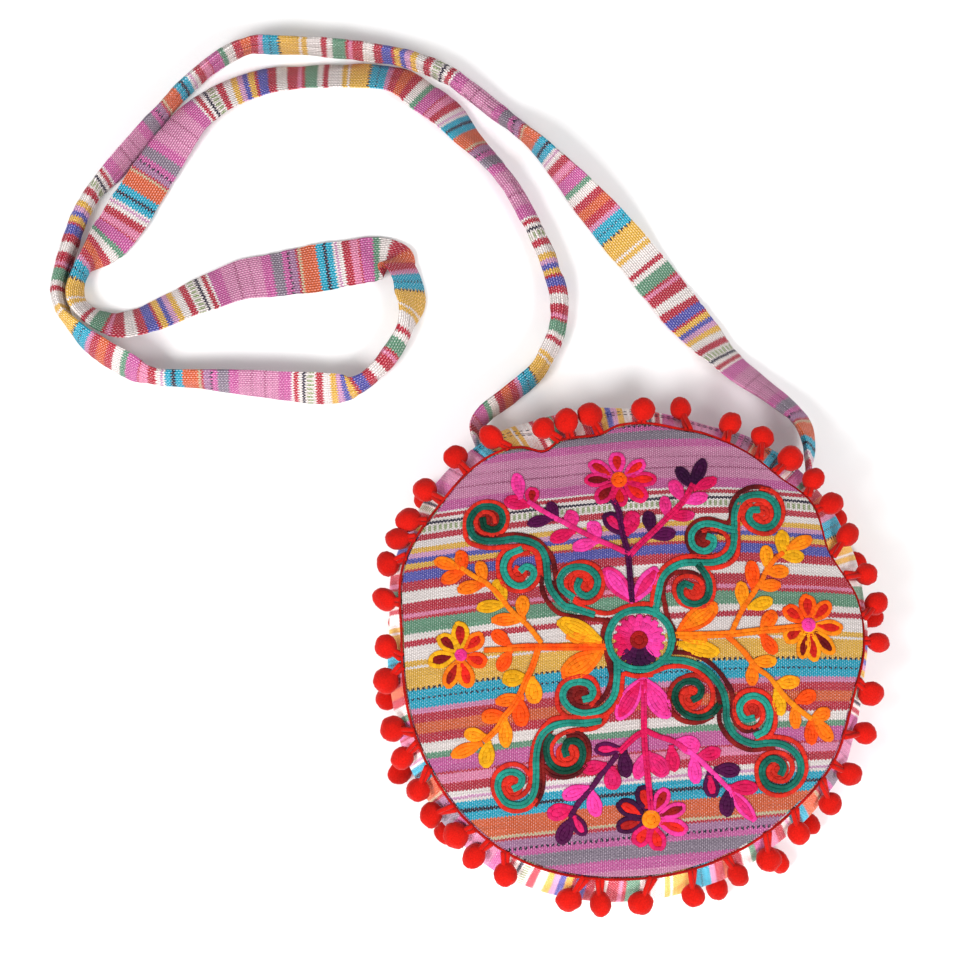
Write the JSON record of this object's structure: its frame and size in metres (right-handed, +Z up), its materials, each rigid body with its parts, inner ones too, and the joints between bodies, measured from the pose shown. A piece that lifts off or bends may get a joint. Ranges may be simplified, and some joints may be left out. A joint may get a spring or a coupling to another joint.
{
  "type": "shoulder bag",
  "caption": "Round soft shoulder bag of striped handwoven cloth, embroidered on the front, with pompom trim in both seams, a zip hidden in the side band and a long flat cloth strap.",
  "frame": {"origin": "middle of the back panel's underside, where the bag rests on the floor", "axes": "+Z up out of the front panel, +Y towards the zipped top of the bag, +X to the right as seen from the front"},
  "size_m": [0.4115, 0.439, 0.0566],
  "materials": {
    "striped_cloth": "handwoven cotton in weft stripes",
    "side_cloth": "handwoven cotton in weft stripes",
    "zip_tape": "dark woven tape",
    "trim_wool": "matt red yarn",
    "strap_cloth": "folded handwoven strip"
  },
  "bodies": {
    "root": {"front_panel": "striped_cloth", "back_panel": "striped_cloth", "bottom_gusset": "side_cloth", "zip_band_front": "side_cloth", "zip_band_back": "side_cloth", "zip": "zip_tape", "front_trim": "trim_wool", "back_trim": "trim_wool", "strap": "strap_cloth"}
  },
  "joints": []
}
